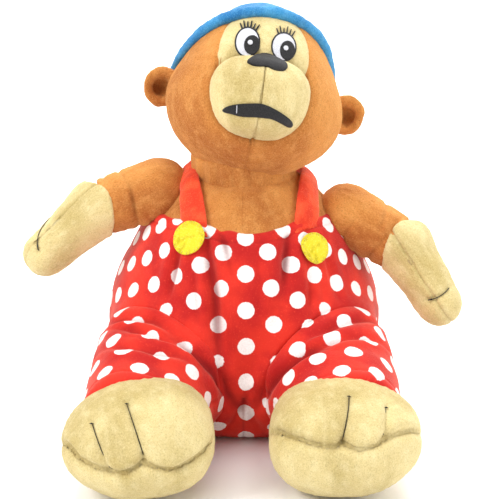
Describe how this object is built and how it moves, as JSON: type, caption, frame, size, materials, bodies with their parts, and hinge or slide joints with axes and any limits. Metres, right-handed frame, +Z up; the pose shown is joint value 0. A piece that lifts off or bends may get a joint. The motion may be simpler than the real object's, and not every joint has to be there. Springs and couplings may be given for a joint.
{
  "type": "plush monkey toy",
  "caption": "Sitting plush monkey in dotted dungarees with straps and felt buttons, a cap at the back of its head, stuffed arms, legs and feet on soft joints.",
  "frame": {"origin": "centre of the flat seat that the toy sits on", "axes": "+Z up out of the seat, -Y the way the toy faces, +X its own left"},
  "size_m": [0.3033, 0.2815, 0.2859],
  "materials": {
    "brown_plush": "short golden-brown pile",
    "beige_plush": "short cream-beige pile",
    "dotted_fabric": "red velour with off-white dots",
    "strap_fabric": "plain orange-red velour",
    "yellow_felt": "matt felt",
    "blue_plush": "short blue pile",
    "black_thread": "satin-stitch embroidery",
    "white_thread": "satin-stitch embroidery",
    "stuffing": "loose polyester fibre, hidden inside"
  },
  "bodies": {
    "torso": {"torso_stuffing": "stuffing", "seat_panel": "dotted_fabric", "chest_left_panel": "brown_plush", "chest_right_panel": "brown_plush", "back_panel": "brown_plush", "dungarees_front": "dotted_fabric", "dungarees_back": "dotted_fabric", "left_strap": "strap_fabric", "left_button": "yellow_felt", "left_button_stitches": "yellow_felt", "right_strap": "strap_fabric", "right_button": "yellow_felt", "right_button_stitches": "yellow_felt"},
    "neck": {"neck_fabric": "brown_plush", "neck_stuffing": "stuffing"},
    "head": {"head_stuffing": "stuffing", "head_left_panel": "brown_plush", "head_right_panel": "brown_plush", "head_back_panel": "brown_plush", "eye_mask_panel": "beige_plush", "muzzle_stuffing": "stuffing", "muzzle_left_panel": "beige_plush", "muzzle_right_panel": "beige_plush", "nose": "black_thread", "mouth": "black_thread", "eye_outlines": "black_thread", "eye_highlights": "white_thread", "eyelashes": "black_thread", "cap_crown": "blue_plush", "cap_rolled_edge": "blue_plush", "left_eye_white": "white_thread", "left_pupil": "black_thread", "right_eye_white": "white_thread", "right_pupil": "black_thread"},
    "left_ear": {"left_ear": "brown_plush"},
    "left_arm": {"left_arm_stuffing": "stuffing", "left_sleeve": "brown_plush"},
    "left_hand": {"left_hand_stuffing": "stuffing", "left_hand_back_panel": "beige_plush", "left_hand_palm_panel": "beige_plush", "left_finger_stitches": "black_thread"},
    "left_leg": {"left_leg_stuffing": "stuffing", "left_trouser_leg": "dotted_fabric"},
    "left_foot": {"left_foot_stuffing": "stuffing", "left_foot_upper": "beige_plush", "left_foot_sole": "beige_plush", "left_toe_stitches": "black_thread"},
    "right_ear": {"right_ear": "brown_plush"},
    "right_arm": {"right_arm_stuffing": "stuffing", "right_sleeve": "brown_plush"},
    "right_hand": {"right_hand_stuffing": "stuffing", "right_hand_back_panel": "beige_plush", "right_hand_palm_panel": "beige_plush", "right_finger_stitches": "black_thread"},
    "right_leg": {"right_leg_stuffing": "stuffing", "right_trouser_leg": "dotted_fabric"},
    "right_foot": {"right_foot_stuffing": "stuffing", "right_foot_upper": "beige_plush", "right_foot_sole": "beige_plush", "right_toe_stitches": "black_thread"}
  },
  "joints": [
    {"name": "neck_turn", "type": "hinge", "parent": "torso", "child": "neck", "pos_m": [0, 0, 0.168], "axis": [0, 0, 1], "range_deg": [-35, 35], "stiffness_Nm_per_rad": 0.3},
    {"name": "head_nod", "type": "hinge", "parent": "neck", "child": "head", "pos_m": [0, 0, 0.168], "axis": [1, 0, 0], "range_deg": [-10, 10], "stiffness_Nm_per_rad": 0.5},
    {"name": "left_ear_fold", "type": "hinge", "parent": "head", "child": "left_ear", "pos_m": [0.07, 0.00771, 0.20665], "axis": [-0.1504, -0.2756, -0.9494], "range_deg": [-45, 45], "stiffness_Nm_per_rad": 0.02},
    {"name": "left_shoulder_raise", "type": "hinge", "parent": "torso", "child": "left_arm", "pos_m": [0.072, -0.006, 0.138], "axis": [0, -1, 0], "range_deg": [0, 45], "stiffness_Nm_per_rad": 0.2},
    {"name": "left_wrist_bend", "type": "hinge", "parent": "left_arm", "child": "left_hand", "pos_m": [0.11123, -0.01776, 0.11935], "axis": [-0.0364, 0.809, -0.5867], "range_deg": [-30, 20], "stiffness_Nm_per_rad": 0.08},
    {"name": "left_hip_lift", "type": "hinge", "parent": "torso", "child": "left_leg", "pos_m": [0.056, -0.069, 0.045], "axis": [-1, 0, 0], "range_deg": [-12, 15], "stiffness_Nm_per_rad": 0.8},
    {"name": "left_ankle_bend", "type": "hinge", "parent": "left_leg", "child": "left_foot", "pos_m": [0.0645, -0.146, 0.0382], "axis": [-1, 0, 0], "range_deg": [-20, 20], "stiffness_Nm_per_rad": 0.3},
    {"name": "right_ear_fold", "type": "hinge", "parent": "head", "child": "right_ear", "pos_m": [-0.05572, 0.00557, 0.22718], "axis": [0.1504, 0.2756, 0.9494], "range_deg": [-45, 45], "stiffness_Nm_per_rad": 0.02},
    {"name": "right_shoulder_raise", "type": "hinge", "parent": "torso", "child": "right_arm", "pos_m": [-0.059, -0.005, 0.1565], "axis": [0, 1, 0], "range_deg": [-8, 45], "stiffness_Nm_per_rad": 0.2},
    {"name": "right_wrist_bend", "type": "hinge", "parent": "right_arm", "child": "right_hand", "pos_m": [-0.10193, -0.01202, 0.14498], "axis": [0.0092, -0.8688, 0.495], "range_deg": [-30, 20], "stiffness_Nm_per_rad": 0.08},
    {"name": "right_hip_lift", "type": "hinge", "parent": "torso", "child": "right_leg", "pos_m": [-0.056, -0.069, 0.045], "axis": [-1, 0, 0], "range_deg": [-12, 15], "stiffness_Nm_per_rad": 0.8},
    {"name": "right_ankle_bend", "type": "hinge", "parent": "right_leg", "child": "right_foot", "pos_m": [-0.066, -0.15, 0.0388], "axis": [-0.9925, 0, -0.1219], "range_deg": [-20, 20], "stiffness_Nm_per_rad": 0.3}
  ]
}
